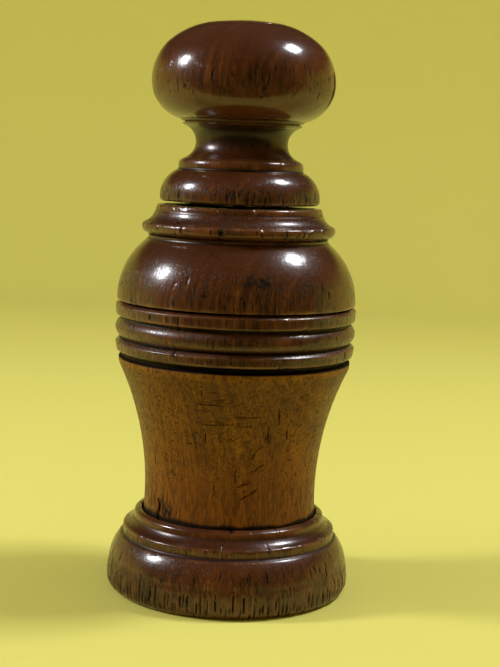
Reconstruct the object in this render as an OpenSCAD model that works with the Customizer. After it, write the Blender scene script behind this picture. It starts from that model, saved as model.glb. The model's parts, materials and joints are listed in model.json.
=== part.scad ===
// Turned wooden pepper mill on a round foot.
// The cap and knob turn a square-topped iron spindle, the spindle turns a toothed cone
// inside a toothed ring, and the ground pepper falls into the waist, which is the receiver.
// Origin: centre of the foot's underside. +Z is up, and every turning shares the Z axis.

/* [Turned body] */
// Radius of the foot at its widest
foot_r = 38.4; // [37.5:0.1:41]
// Height of the foot, up to its top lip
foot_h = 25.1; // [24.8:0.1:27]
// Smallest outside radius of the waist
waist_r = 27.1; // [26.2:0.1:28]
// Height of the rim where the mill lifts off the waist
rim_z = 74.3; // [73:0.1:76]
// Outside radius of the flat bands round the hopper
band_r = 37.6; // [36.5:0.1:38.5]
// Height of the hopper above the rim, up to the collar
hopper_h = 37.1; // [36:0.1:38]
// Height of the collar above the hopper
collar_h = 9.4; // [9.2:0.1:11]
// Open gap between the collar and the turning cap
cap_gap = 1; // [0.6:0.1:1.5]
// Height of the cap, from its underside to the fillet below the knob
cap_h = 24.3; // [24:0.1:26]
// Radius of the knob at its widest
knob_r = 28.4; // [27:0.1:30]
// Height of the knob, without the domed button on top
knob_h = 28.8; // [28:0.1:31]

/* [Hollows] */
// Radius of the receiver's bore through the waist
receiver_r = 22; // [21.8:0.1:22.3]
// Radius of the push-fit spigot below the hopper
spigot_r = 26; // [25.6:0.1:26.4]
// Length of the push-fit spigot below the hopper
spigot_len = 14.3; // [13:0.1:15]
// Radius of the glued tenon below the waist
tenon_r = 25; // [24.5:0.1:25.5]
// Radius of the filling mouth through the collar
mouth_r = 19.5; // [19:0.1:20]

/* [Ironwork] */
// Radius of the spindle's round journal
spindle_r = 3.5; // [3.4:0.05:3.8]
// Width of the spindle's square top
tang_w = 4.8; // [4.4:0.1:4.9]
// Outside radius of the ring burr
ring_r = 15; // [14.8:0.1:15.2]
// Gap between the burrs' faces at the coarse setting
burr_gap = 0.7; // [0.6:0.05:0.9]
// Radius of the adjusting screw
screw_r = 3; // [2.8:0.1:3.2]
// Radius of the thumb wheel
wheel_r = 9; // [8:0.1:10]
// Radial clearance of every running fit
run = 0.05; // [0.03:0.01:0.08]

/* [Teeth] */
// Number of fine grinding teeth on each burr
fine_teeth = 20; // [12:1:24]
// Number of coarse breaking teeth on each burr
coarse_teeth = 7; // [5:1:9]
// Number of grips round the thumb wheel
wheel_grips = 18; // [12:1:24]

/* [Hidden] */

$fn = 72;
arc_step = 9;

// Heights of the joints between the turnings
hopper_top = rim_z + hopper_h;
collar_top = hopper_top + collar_h;
cap_z = collar_top + cap_gap;
fillet_z = cap_z + cap_h;
knob_z = fillet_z + 0.3;
knob_top = knob_z + knob_h;
spigot_z = rim_z - spigot_len;

// Foot and waist
foot_floor = 7;
ledge_z = 10;
shoulder_z = foot_h - 2.1;
lip_r = waist_r + 0.65;
socket_z = spigot_z - 0.5;
waist_min_z = 31.6;
waist_curve_r = 91.5;
glue = 0.03;
inlet = 0.1;

// Hopper
groove_r = band_r - 2.3;
waist_lip_r = band_r - 1.2;
dome_r = band_r - 0.4;
dome_top_r = 28.1;
hopper_mouth_r = 24.5;
hopper_mouth_z = hopper_top - 7;
throat_r = 12.4;
throat_z = spigot_z + 16;

// Burrs
flange_r = ring_r + 4.2;
flange_t = 2.4;
burr_screw_r = (ring_r + flange_r) / 2;
male_z = spigot_z + 1;
burr_step_z = spigot_z + 8;
burr_foot_r = 12.1;
burr_slope = 0.25;
burr_step_r = burr_foot_r - burr_slope * (burr_step_z - male_z);
burr_top_z = spigot_z + 18;
burr_top_r = 5.4;
tooth_w = 1.5;
breaker_w = 2.6;
skew = 18;
pin_r = 0.9;
pin_len = 19;
pin_z = male_z + 3;

// Top bridge, flush with the collar's top
bridge_w = 9;
bridge_t = 2;
bridge_len = 46.4;
bridge_z = collar_top - bridge_t;
bridge_screw_x = 21.2;
bush_r = 5;
eye_r = 8;

// Stirrup under the spigot
strap_w = 8;
strap_t = 1.5;
leg_x = 19.4;
foot_x = 25.2;
bar_t = 2.5;
bar_z = spigot_z - 16.5;
stirrup_screw_x = 23;

// Footstep bearing and adjusting screw
guide_z = bar_z - 5;
guide_top = bar_z + bar_t + 3;
cup_r = 4;
cup_z = bar_z;
cup_h = 5;
pivot_r = 2.5;
pivot_z = cup_z + 2.5;
journal_z = pivot_z + 6;
screw_end = bar_z - 14;
wheel_t = 4.5;

// Drive plate in the cap's underside
plate_r = 11;
plate_t = 2.5;
plate_screw_r = 7.6;
tang_len = 16;
tenon_top_r = 13.9;
button_h = 2.1;
button_r = 13.3;

// Wood screws: head radius, shank radius, length
burr_screw = [1.8, 1, 10];
bridge_screw = [1.6, 0.9, 9];
stirrup_screw = [1.7, 1, 10];
plate_screw = [1.9, 1, 9];
screw_point = 2.5;
slot_w = 0.5;

// Points along a circular arc from a to b.
// A positive rise bulges to the right of the way from a to b.
function bow(a, b, rise) =
    let (c = norm(b - a),
         d = (b - a) / c,
         side = sign(rise),
         out = side * [d[1], -d[0]],
         half = 2 * atan(2 * abs(rise) / c),
         r = c / 2 / sin(half),
         mid = (a + b) / 2 + out * (abs(rise) - r),
         steps = max(3, ceil(2 * half / arc_step)))
    [for (i = [0:steps])
        let (turn = half * (2 * i / steps - 1))
        mid + r * (out * cos(turn) + d * sin(turn))];

// The waist's outside is one long hollow curve, tightest at waist_min_z.
function waist_radius(z) =
    waist_r + waist_curve_r - sqrt(pow(waist_curve_r, 2) - pow(z - waist_min_z, 2));

module turned(outline) {
    rotate_extrude() polygon(outline);
}

// A wood screw's size is [head radius, shank radius, length].
// Countersunk slotted wood screw, head at the origin with its shank up +Z
module wood_screw(size) {
    difference() {
        screw_hole(size);
        translate([-size[0], -slot_w / 2, -1])
            cube([2 * size[0], slot_w, 1 + (size[0] - size[1]) / 2]);
    }
}

// The hole that a wood screw fills, from its head to its point
module screw_hole(size) {
    cylinder(r1 = size[0], r2 = size[1], h = size[0] - size[1]);
    pilot(size);
}

module pilot(size) {
    cylinder(r = size[1], h = size[2] - screw_point);
    translate([0, 0, size[2] - screw_point])
        cylinder(r1 = size[1], r2 = 0.2, h = screw_point);
}

module round_copies(count, r) {
    for (i = [0:count - 1])
        rotate(360 / count * i)
            translate([r, 0, 0])
                children();
}

module side_copies(x) {
    for (side = [-1, 1])
        translate([side * x, 0, 0])
            children();
}

module base() {
    outline = concat(
        [[0, 1.2], [30.4, 1.2], [31.4, 0]],
        bow([foot_r - 2, 0], [foot_r, 3.6], 0.6),
        bow([foot_r, 4.6], [foot_r - 0.4, 8.5], 0.08),
        bow([foot_r - 0.5, 8.8], [34.4, 17], 0.75),
        [[33.8, 17.1], [33.6, 17.4], [33.6, 19.9]],
        bow([33.3, 20.2], [30.7, 22.1], -0.3),
        [[30.4, 22.3], [30.1, 24], [29.7, foot_h - 0.55]],
        [[lip_r + 0.3, foot_h], [lip_r, foot_h - 0.3], [lip_r, shoulder_z],
         [tenon_r + glue, shoulder_z], [tenon_r + glue, ledge_z], [receiver_r, ledge_z]],
        bow([receiver_r, foot_floor + 2], [receiver_r - 2, foot_floor], 0.5),
        [[0, foot_floor]]);
    color([0.36, 0.17, 0.08]) turned(outline);
}

module waist() {
    steps = 14;
    rise = (rim_z - 2.9 - shoulder_z) / steps;
    outer = [for (i = [0:steps]) let (z = shoulder_z + rise * i) [waist_radius(z), z]];
    outline = concat(
        [[receiver_r, ledge_z], [tenon_r, ledge_z], [tenon_r, shoulder_z]],
        outer,
        [[waist_lip_r, rim_z - 1.8], [waist_lip_r, rim_z - 0.9], [groove_r, rim_z],
         [spigot_r + run + 0.5, rim_z], [spigot_r + run, rim_z - 0.5],
         [spigot_r + run, socket_z], [receiver_r, socket_z]]);
    color([0.46, 0.26, 0.12]) turned(outline);
}

module hopper() {
    notch_r = band_r - 1.5;
    outline = concat(
        [[ring_r + run, spigot_z + flange_t], [flange_r + run, spigot_z + flange_t],
         [flange_r + run, spigot_z], [spigot_r - 0.6, spigot_z], [spigot_r, spigot_z + 0.6],
         [spigot_r, rim_z], [groove_r, rim_z], [groove_r, rim_z + 0.7],
         [band_r - 0.9, rim_z + 0.9], [band_r - 0.5, rim_z + 1.3], [band_r - 0.1, rim_z + 3.85],
         [notch_r + 0.3, rim_z + 4.9], [notch_r - 0.2, rim_z + 5]],
        bow([notch_r - 0.2, rim_z + 5.3], [notch_r - 0.2, rim_z + 11.2], 1.65),
        [[notch_r - 0.2, rim_z + 11.9], [band_r - 0.4, rim_z + 12.1], [band_r - 0.1, rim_z + 12.5],
         [band_r, rim_z + 15.5], [notch_r + 0.3, rim_z + 16.3], [groove_r, rim_z + 16.5],
         [groove_r, rim_z + 16.8], [dome_r, rim_z + 16.8]],
        bow([dome_r + 0.1, rim_z + 17.2], [dome_top_r, hopper_top - 1], 2.5),
        [[dome_top_r - 0.1, hopper_top], [hopper_mouth_r, hopper_top],
         [hopper_mouth_r, hopper_mouth_z], [hopper_mouth_r - 0.5, hopper_mouth_z],
         [hopper_mouth_r - 0.5, hopper_mouth_z - 5], [throat_r, throat_z], [ring_r + run, throat_z]]);
    color([0.36, 0.17, 0.08])
        difference() {
            turned(outline);
            translate([0, 0, spigot_z]) {
                rotate(90) round_copies(3, burr_screw_r) pilot(burr_screw);
                side_copies(stirrup_screw_x) pilot(stirrup_screw);
            }
            for (turn = [0, 180])
                rotate(turn)
                    translate([leg_x - inlet, -strap_w / 2 - inlet, spigot_z - 1])
                        cube([foot_x - leg_x + 2 * inlet, strap_w + 2 * inlet, 1 + strap_t]);
        }
}

module collar() {
    outline = concat(
        [[mouth_r, hopper_mouth_z], [hopper_mouth_r - glue, hopper_mouth_z],
         [hopper_mouth_r - glue, hopper_top], [27.8, hopper_top]],
        bow([28.2, hopper_top + 0.4], [29.8, hopper_top + 3.7], 1),
        bow([29.3, hopper_top + 4], [26.4, hopper_top + 7], -0.5),
        [[26.1, hopper_top + 7.4], [25.8, collar_top - 0.5], [25.4, collar_top],
         [mouth_r + 0.6, collar_top], [mouth_r, collar_top - 0.6]]);
    color([0.36, 0.17, 0.08])
        difference() {
            turned(outline);
            translate([-bridge_len / 2 - inlet, -bridge_w / 2 - inlet, bridge_z])
                cube([bridge_len + 2 * inlet, bridge_w + 2 * inlet, bridge_t + 1]);
            translate([0, 0, collar_top])
                side_copies(bridge_screw_x) mirror([0, 0, 1]) pilot(bridge_screw);
        }
}

// Straight skewed grooves round a cone, between radius r1 at z1 and radius r2 at z2
module skewed_grooves(count, width, r1, z1, r2, z2) {
    reach = 1.2 * norm([r2 - r1, z2 - z1]);
    lean = atan((r2 - r1) / (z2 - z1));
    for (i = [0:count - 1])
        rotate(360 / count * i)
            translate([(r1 + r2) / 2, 0, (z1 + z2) / 2])
                rotate([skew, lean, 0])
                    rotate(45)
                        cube([width / sqrt(2), width / sqrt(2), reach], center = true);
}

module male_burr() {
    color([0.23, 0.22, 0.21])
        difference() {
            turned([[spindle_r, male_z], [burr_foot_r, male_z], [burr_step_r, burr_step_z],
                    [burr_top_r, burr_top_z], [spindle_r, burr_top_z]]);
            skewed_grooves(fine_teeth, tooth_w, burr_foot_r, male_z, burr_step_r, burr_step_z);
            skewed_grooves(coarse_teeth, breaker_w, burr_step_r, burr_step_z, burr_top_r, burr_top_z);
            translate([0, 0, pin_z])
                rotate([0, 90, 0]) cylinder(r = pin_r, h = 2 * burr_foot_r + 2, center = true);
        }
}

module ring_burr() {
    foot_bore = burr_foot_r + burr_slope * (male_z - spigot_z) + burr_gap;
    step_bore = burr_step_r + burr_gap;
    color([0.25, 0.24, 0.23])
        difference() {
            turned([[foot_bore, spigot_z], [flange_r, spigot_z], [flange_r, spigot_z + flange_t],
                    [ring_r, spigot_z + flange_t], [ring_r, throat_z], [throat_r, throat_z],
                    [step_bore, burr_step_z]]);
            skewed_grooves(fine_teeth, tooth_w, foot_bore, spigot_z, step_bore, burr_step_z);
            skewed_grooves(coarse_teeth, breaker_w, step_bore, burr_step_z, throat_r, throat_z);
            translate([0, 0, spigot_z])
                rotate(90) round_copies(3, burr_screw_r) screw_hole(burr_screw);
        }
}

module ring_burr_screws() {
    color([0.45, 0.43, 0.4])
        translate([0, 0, spigot_z])
            rotate(90) round_copies(3, burr_screw_r) wood_screw(burr_screw);
}

module top_bridge() {
    color([0.27, 0.25, 0.24])
        difference() {
            union() {
                translate([-bridge_len / 2, -bridge_w / 2, bridge_z])
                    cube([bridge_len, bridge_w, bridge_t]);
                translate([0, 0, bridge_z]) cylinder(r = eye_r, h = bridge_t);
            }
            translate([0, 0, bridge_z - 1]) cylinder(r = bush_r, h = bridge_t + 2);
            translate([0, 0, collar_top])
                side_copies(bridge_screw_x) mirror([0, 0, 1]) screw_hole(bridge_screw);
        }
}

module bridge_bush() {
    color([0.72, 0.55, 0.25])
        turned([[spindle_r + run, bridge_z - 1.8], [bush_r + 1.3, bridge_z - 1.8],
                [bush_r + 1.3, bridge_z], [bush_r, bridge_z], [bush_r, collar_top],
                [spindle_r + run, collar_top]]);
}

module bridge_screws() {
    color([0.45, 0.43, 0.4])
        translate([0, 0, collar_top])
            side_copies(bridge_screw_x) mirror([0, 0, 1]) wood_screw(bridge_screw);
}

module stirrup() {
    color([0.27, 0.25, 0.24])
        difference() {
            union() {
                translate([-leg_x - strap_t, -strap_w / 2, bar_z])
                    cube([2 * (leg_x + strap_t), strap_w, bar_t]);
                translate([0, 0, bar_z]) cylinder(r = eye_r, h = bar_t);
                for (turn = [0, 180])
                    rotate(turn) {
                        translate([leg_x, -strap_w / 2, bar_z])
                            cube([strap_t, strap_w, spigot_z + strap_t - bar_z]);
                        translate([leg_x, -strap_w / 2, spigot_z])
                            cube([foot_x - leg_x, strap_w, strap_t]);
                    }
            }
            translate([0, 0, bar_z - 1]) cylinder(r = bush_r, h = bar_t + 2);
            translate([0, 0, spigot_z])
                side_copies(stirrup_screw_x) screw_hole(stirrup_screw);
        }
}

module stirrup_screws() {
    color([0.45, 0.43, 0.4])
        translate([0, 0, spigot_z])
            side_copies(stirrup_screw_x) wood_screw(stirrup_screw);
}

// Brass bush riveted in the stirrup: the screw's thread is below, the footstep cup slides above.
module guide_bush() {
    color([0.72, 0.55, 0.25])
        turned([[screw_r + run, guide_z], [bush_r, guide_z], [bush_r, bar_z + bar_t],
                [bush_r + 1.5, bar_z + bar_t], [bush_r + 1.5, guide_top], [cup_r + run, guide_top],
                [cup_r + run, bar_z - 1], [screw_r + run, bar_z - 1]]);
}

module footstep_cup() {
    color([0.6, 0.6, 0.6])
        turned([[0, cup_z], [cup_r, cup_z], [cup_r, cup_z + cup_h], [pivot_r + run, cup_z + cup_h],
                [pivot_r + run, pivot_z], [0, pivot_z]]);
}

module adjusting_screw() {
    color([0.5, 0.48, 0.46])
        turned([[0, screw_end], [screw_r - 0.5, screw_end], [screw_r, screw_end + 0.5],
                [screw_r, cup_z - 0.4], [screw_r - 0.4, cup_z], [0, cup_z]]);
}

module thumb_wheel() {
    wheel_z = screw_end + 1;
    color([0.72, 0.55, 0.25])
        difference() {
            turned([[screw_r, wheel_z], [wheel_r - 0.6, wheel_z], [wheel_r, wheel_z + 0.6],
                    [wheel_r, wheel_z + wheel_t - 0.6], [wheel_r - 0.6, wheel_z + wheel_t],
                    [screw_r, wheel_z + wheel_t]]);
            translate([0, 0, wheel_z - 1])
                round_copies(wheel_grips, wheel_r + 0.4) cylinder(r = 0.9, h = wheel_t + 2, $fn = 24);
        }
}

module spindle() {
    color([0.4, 0.39, 0.38])
        difference() {
            union() {
                turned([[0, pivot_z], [pivot_r, pivot_z], [pivot_r, journal_z],
                        [spindle_r, journal_z + 1], [spindle_r, cap_z], [0, cap_z]]);
                translate([-tang_w / 2, -tang_w / 2, cap_z - 1])
                    cube([tang_w, tang_w, tang_len + 1]);
            }
            translate([0, 0, pin_z])
                rotate([0, 90, 0]) cylinder(r = pin_r, h = 3 * spindle_r, center = true);
        }
}

module burr_pin() {
    color([0.6, 0.6, 0.6])
        translate([0, 0, pin_z])
            rotate([0, 90, 0]) cylinder(r = pin_r, h = pin_len, center = true);
}

// Moulded cap and neck in one turning, with a round tenon that runs up through the knob
module cap() {
    torus_r = 24.9;
    tang_hole = tang_w + 2.2;
    outline = concat(
        [[plate_r + glue, cap_z], [torus_r - 0.7, cap_z], [torus_r, cap_z + 0.7]],
        bow([torus_r, cap_z + 2], [20.2, cap_z + 9.7], 1.2),
        [[19.4, cap_z + 10]],
        bow([19.4, cap_z + 10.4], [19, cap_z + 12.8], 0.25),
        bow([17.9, cap_z + 13.5], [17.9, fillet_z - 0.9], -3.6),
        [[18.8, fillet_z - 0.2], [18.6, fillet_z], [17.8, fillet_z], [17.8, knob_z],
         [tenon_top_r, knob_z], [tenon_top_r, knob_top - 1], [button_r, knob_top - 0.8],
         [button_r, knob_top + 0.5]],
        bow([button_r - 0.4, knob_top + 0.85], [0, knob_top + button_h], 0.25),
        [[0, cap_z + plate_t], [plate_r + glue, cap_z + plate_t]]);
    color([0.36, 0.17, 0.08])
        difference() {
            turned(outline);
            translate([-tang_hole / 2, -tang_hole / 2, cap_z + plate_t - 1])
                cube([tang_hole, tang_hole, tang_len]);
            translate([0, 0, cap_z])
                round_copies(3, plate_screw_r) pilot(plate_screw);
        }
}

module knob() {
    widest_z = knob_z + 12.7;
    outline = concat(
        [[tenon_top_r + glue, knob_z], [18.8, knob_z]],
        bow([19.3, knob_z + 0.6], [knob_r, widest_z], 2.7),
        bow([knob_r, widest_z + 0.2], [knob_r - 4.4, widest_z + 10.9], 1.05),
        bow([knob_r - 4.6, widest_z + 11.1], [tenon_top_r + 0.6, knob_top + 0.45], 0.57),
        [[tenon_top_r + 0.3, knob_top + 0.4], [tenon_top_r + glue, knob_top]]);
    color([0.36, 0.17, 0.08]) turned(outline);
}

module drive_plate() {
    hole_w = tang_w + 2 * run;
    color([0.72, 0.55, 0.25])
        difference() {
            translate([0, 0, cap_z]) cylinder(r = plate_r, h = plate_t);
            translate([-hole_w / 2, -hole_w / 2, cap_z - 1])
                cube([hole_w, hole_w, plate_t + 2]);
            translate([0, 0, cap_z])
                round_copies(3, plate_screw_r) screw_hole(plate_screw);
        }
}

module drive_plate_screws() {
    color([0.45, 0.43, 0.4])
        translate([0, 0, cap_z])
            round_copies(3, plate_screw_r) wood_screw(plate_screw);
}

base();
waist();
hopper();
collar();
ring_burr();
ring_burr_screws();
top_bridge();
bridge_bush();
bridge_screws();
stirrup();
stirrup_screws();
guide_bush();
footstep_cup();
adjusting_screw();
thumb_wheel();
spindle();
male_burr();
burr_pin();
cap();
knob();
drive_plate();
drive_plate_screws();
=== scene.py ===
"""Turned wooden pepper mill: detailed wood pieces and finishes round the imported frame.

Lengths inside the shape functions are in millimetres; meshes are scaled to metres as they are made.
Angles go round +Z from +X, so -90 degrees faces the camera.
"""

import json
import math

import bpy
import numpy as np
from mathutils import Matrix, Vector


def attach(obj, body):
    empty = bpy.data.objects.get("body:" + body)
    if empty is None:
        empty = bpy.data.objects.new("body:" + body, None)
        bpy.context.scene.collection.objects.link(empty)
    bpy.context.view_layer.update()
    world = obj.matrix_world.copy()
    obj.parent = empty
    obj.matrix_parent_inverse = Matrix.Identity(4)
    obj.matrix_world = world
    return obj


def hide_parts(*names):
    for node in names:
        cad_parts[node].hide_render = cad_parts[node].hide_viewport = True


MM = 0.001
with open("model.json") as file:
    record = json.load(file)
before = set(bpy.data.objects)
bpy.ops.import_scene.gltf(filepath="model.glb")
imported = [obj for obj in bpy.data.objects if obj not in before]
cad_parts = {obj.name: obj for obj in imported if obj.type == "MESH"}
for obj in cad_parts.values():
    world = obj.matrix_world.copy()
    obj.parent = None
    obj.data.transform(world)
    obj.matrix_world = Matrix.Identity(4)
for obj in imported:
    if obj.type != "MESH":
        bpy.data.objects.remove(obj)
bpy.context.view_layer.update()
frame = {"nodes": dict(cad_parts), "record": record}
scene = bpy.context.scene
scene.view_settings.view_transform = "Standard"


# ---------------------------------------------------------------- camera

def make_camera():
    data = bpy.data.cameras.new("camera")
    data.lens = 74.5
    data.sensor_width = 36
    data.clip_start = 0.01
    camera = bpy.data.objects.new("camera", data)
    scene.collection.objects.link(camera)
    pitch = Matrix.Rotation(math.radians(90 - 7.354), 4, "X")
    roll = Matrix.Rotation(math.radians(2.117), 4, "Z")
    camera.matrix_world = Matrix.Translation((0.0047, -0.4306, 0.1366)) @ pitch @ roll
    scene.camera = camera


make_camera()


# ---------------------------------------------------------------- measures of the turnings (mm)

FOOT_R, FOOT_H, SHOULDER = 38.4, 25.1, 23.0
WAIST_R, WAIST_MIN_Z, WAIST_CURVE_R, RIM = 27.1, 31.6, 91.5, 74.3
LIP_R = WAIST_R + 0.65
BAND_R, HOPPER_TOP = 37.6, 111.4
GROOVE_R, WAIST_LIP_R, DOME_R, NOTCH_R = BAND_R - 2.3, BAND_R - 1.2, BAND_R - 0.4, BAND_R - 1.5
COLLAR_TOP, CAP_Z = 120.8, 121.8
FILLET, KNOB_Z, KNOB_TOP = 146.1, 146.4, 175.2
SPIGOT_R, SPIGOT_Z = 26.0, 60.0
TENON_R, RECEIVER_R, LEDGE, FOOT_FLOOR = 25, 22, 10, 7
KNOB_TENON_R, BUTTON_R = 13.9, 13.3
MOUTH_R, MOUTH_Z = 24.5, HOPPER_TOP - 7
RUN, GLUE = 0.05, 0.03
AXIS_R = 0.3
SHOWN, HIDDEN = True, False
# Step of the outlines' working points, reach of the mean that finds arrises, and step on unseen faces
FINE_STEP, BULGE_REACH, HIDDEN_STEP = 0.05, 1.2, 6


def bow(a, b, rise, degrees=3.0):
    """Points along a circular arc from a to b; a positive rise bulges to the right of the way."""
    a, b = np.array(a, float), np.array(b, float)
    chord = np.linalg.norm(b - a)
    along = (b - a) / chord
    side = math.copysign(1, rise)
    out = side * np.array([along[1], -along[0]])
    half = 2 * math.atan(2 * abs(rise) / chord)
    radius = chord / 2 / math.sin(half)
    middle = (a + b) / 2 + out * (abs(rise) - radius)
    steps = max(4, math.ceil(math.degrees(2 * half) / degrees))
    turns = half * np.linspace(-1, 1, steps + 1)
    return [tuple(middle + radius * (out * math.cos(t) + along * math.sin(t))) for t in turns]


def base_outline():
    foot = [(30.4, 1.2), (31.4, 0)]
    foot += bow((FOOT_R - 2, 0), (FOOT_R, 3.6), 0.6)
    foot += bow((FOOT_R, 4.6), (FOOT_R - 0.4, 8.5), 0.08)
    foot += bow((FOOT_R - 0.5, 8.8), (34.4, 17), 0.75)
    foot += [(33.8, 17.1), (33.6, 17.4), (33.6, 19.9)]
    foot += bow((33.3, 20.2), (30.7, 22.1), -0.3)
    foot += [(30.4, 22.3), (30.1, 24), (29.7, FOOT_H - 0.55)]
    foot += [(LIP_R + 0.3, FOOT_H), (LIP_R, FOOT_H - 0.3)]
    cup = [(LIP_R, SHOULDER), (TENON_R + GLUE, SHOULDER), (TENON_R + GLUE, LEDGE), (RECEIVER_R, LEDGE)]
    cup += bow((RECEIVER_R, FOOT_FLOOR + 2), (RECEIVER_R - 2, FOOT_FLOOR), 0.5) + [(AXIS_R, FOOT_FLOOR)]
    return [(HIDDEN, [(AXIS_R, 1.2)]), (SHOWN, foot), (HIDDEN, cup)]


def waist_radius(z):
    return WAIST_R + WAIST_CURVE_R - math.sqrt(WAIST_CURVE_R ** 2 - (z - WAIST_MIN_Z) ** 2)


def waist_outline():
    sleeve = [(waist_radius(z), z) for z in np.linspace(SHOULDER, RIM - 2.9, 30)]
    sleeve += [(WAIST_LIP_R, RIM - 1.8), (WAIST_LIP_R, RIM - 0.9), (GROOVE_R, RIM),
               (SPIGOT_R + RUN + 0.5, RIM)]
    seat = SPIGOT_Z - 0.5
    bore = [(SPIGOT_R + RUN, RIM - 0.5), (SPIGOT_R + RUN, seat), (RECEIVER_R, seat), (RECEIVER_R, LEDGE),
            (TENON_R, LEDGE), (TENON_R, SHOULDER)]
    return [(SHOWN, sleeve), (HIDDEN, bore)]


def hopper_outline():
    z = RIM
    bands = [(GROOVE_R, z), (GROOVE_R, z + 0.7), (BAND_R - 0.9, z + 0.9), (BAND_R - 0.5, z + 1.3),
             (BAND_R - 0.1, z + 3.85), (NOTCH_R + 0.3, z + 4.9), (NOTCH_R - 0.2, z + 5)]
    bands += bow((NOTCH_R - 0.2, z + 5.3), (NOTCH_R - 0.2, z + 11.2), 1.65)
    bands += [(NOTCH_R - 0.2, z + 11.9), (BAND_R - 0.4, z + 12.1), (BAND_R - 0.1, z + 12.5),
              (BAND_R, z + 15.5), (NOTCH_R + 0.3, z + 16.3), (GROOVE_R, z + 16.5), (GROOVE_R, z + 16.8),
              (DOME_R, z + 16.8)]
    dome = bow((DOME_R + 0.1, z + 17.2), (28.1, HOPPER_TOP - 1), 2.5) + [(28.0, HOPPER_TOP)]
    inside = [(MOUTH_R, HOPPER_TOP), (MOUTH_R, MOUTH_Z), (24, MOUTH_Z), (24, MOUTH_Z - 5), (12.4, 76)]
    inside += [(15.05, 76), (15.05, 62.4), (19.25, 62.4), (19.25, SPIGOT_Z)]
    inside += [(SPIGOT_R - 0.6, SPIGOT_Z), (SPIGOT_R, SPIGOT_Z + 0.6), (SPIGOT_R, RIM)]
    return [(SHOWN, bands + dome), (HIDDEN, inside)]


def collar_outline():
    z = HOPPER_TOP
    ring = [(27.8, z)] + bow((28.2, z + 0.4), (29.8, z + 3.7), 1.0)
    ring += bow((29.3, z + 4), (26.4, z + 7), -0.5)
    ring += [(26.1, z + 7.4), (25.8, COLLAR_TOP - 0.5), (25.4, COLLAR_TOP), (20.1, COLLAR_TOP),
             (19.5, COLLAR_TOP - 0.6)]
    return [(SHOWN, ring), (HIDDEN, [(19.5, MOUTH_Z), (MOUTH_R - GLUE, MOUTH_Z), (MOUTH_R - GLUE, z)])]


def cap_outline():
    z = CAP_Z
    recess = [(AXIS_R, z + 2.5), (11.03, z + 2.5), (11.03, z)]
    head = [(24.2, z), (24.9, z + 0.7)] + bow((24.9, z + 2), (20.2, z + 9.7), 1.2) + [(19.4, z + 10)]
    head += bow((19.4, z + 10.4), (19, z + 12.8), 0.25)
    head += bow((17.9, z + 13.5), (17.9, FILLET - 0.9), -3.6)
    head += [(18.8, FILLET - 0.2), (18.6, FILLET), (17.8, FILLET)]
    tenon = [(17.8, KNOB_Z), (KNOB_TENON_R, KNOB_Z), (KNOB_TENON_R, KNOB_TOP - 1)]
    # The tenon's end, the button, is the top of the same turning.
    button = [(BUTTON_R, KNOB_TOP - 0.8), (BUTTON_R, KNOB_TOP + 0.5)]
    button += bow((BUTTON_R - 0.4, KNOB_TOP + 0.85), (AXIS_R, KNOB_TOP + 2.1), 0.25)
    return [(HIDDEN, recess), (SHOWN, head), (HIDDEN, tenon), (SHOWN, button)]


def knob_outline():
    wide = KNOB_Z + 12.7
    bulb = [(18.8, KNOB_Z)] + bow((19.3, KNOB_Z + 0.6), (28.4, wide), 2.7)
    bulb += bow((28.4, wide + 0.2), (24.0, wide + 10.9), 1.05)
    bulb += bow((23.8, wide + 11.1), (14.5, KNOB_TOP + 0.45), 0.57)
    bore_r = KNOB_TENON_R + GLUE
    bulb += [(KNOB_TENON_R + 0.3, KNOB_TOP + 0.4), (bore_r, KNOB_TOP)]
    return [(HIDDEN, [(bore_r, KNOB_Z)]), (SHOWN, bulb), (HIDDEN, [(bore_r, KNOB_Z + 2)])]


# ---------------------------------------------------------------- noise on a turned surface

def smooth(t):
    return t * t * t * (t * (6 * t - 15) + 10)


def field(angle, z, around, tall, seed):
    """Smooth noise from -1 to 1: `around` cells round the axis, each `tall` mm high."""
    rows = int(200 / tall) + 4
    grid = np.random.default_rng(seed).uniform(-1, 1, (rows, around))
    u = angle / (2 * np.pi) % 1 * around
    v = np.clip(z / tall + 1, 0, rows - 2.001)
    i, j = u.astype(int) % around, v.astype(int)
    fu, fv = smooth(u - np.floor(u)), smooth(v - j)
    k = (i + 1) % around
    low = grid[j, i] * (1 - fu) + grid[j, k] * fu
    high = grid[j + 1, i] * (1 - fu) + grid[j + 1, k] * fu
    return low * (1 - fv) + high * fv


def fibres(angle, z, around, length, seed):
    """Noise drawn out along Z, from -1 to 1: `around` fibres round the axis, with cells `length` mm long."""
    rng = np.random.default_rng(seed)
    rows = int(200 / length) + 4
    grid = rng.uniform(-1, 1, (rows, around))
    phase = rng.uniform(0, 1, around)
    u = angle / (2 * np.pi) % 1 * around
    i = u.astype(int) % around
    fu = smooth(u - np.floor(u))

    def column(c):
        v = np.clip(z / length + 1 + phase[c], 0, rows - 2.001)
        j = v.astype(int)
        fv = smooth(v - j)
        return grid[j, c] * (1 - fv) + grid[j + 1, c] * fv

    return column(i) * (1 - fu) + column((i + 1) % around) * fu


# ---------------------------------------------------------------- turned meshes

def resample(points, step):
    """Points about `step` mm apart along a line, its own corners kept."""
    out = [points[0]]
    for a, b in zip(points, points[1:]):
        a, b = np.array(a, float), np.array(b, float)
        n = max(1, round(np.linalg.norm(b - a) / step))
        out += [tuple(a + (b - a) * k / n) for k in range(1, n + 1)]
    return out


def running_length(line):
    return np.concatenate([[0], np.cumsum(np.linalg.norm(np.diff(line, axis=0), axis=1))])


def blurred(line, kernel):
    """A line's points averaged with a kernel, its ends carried on by reflection."""
    reach = len(kernel) // 2
    padded = np.concatenate([2 * line[0] - line[reach:0:-1], line, 2 * line[-1] - line[-2:-reach - 2:-1]])
    return np.stack([np.convolve(padded[:, k], kernel, "valid") for k in (0, 1)], axis=1)


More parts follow.
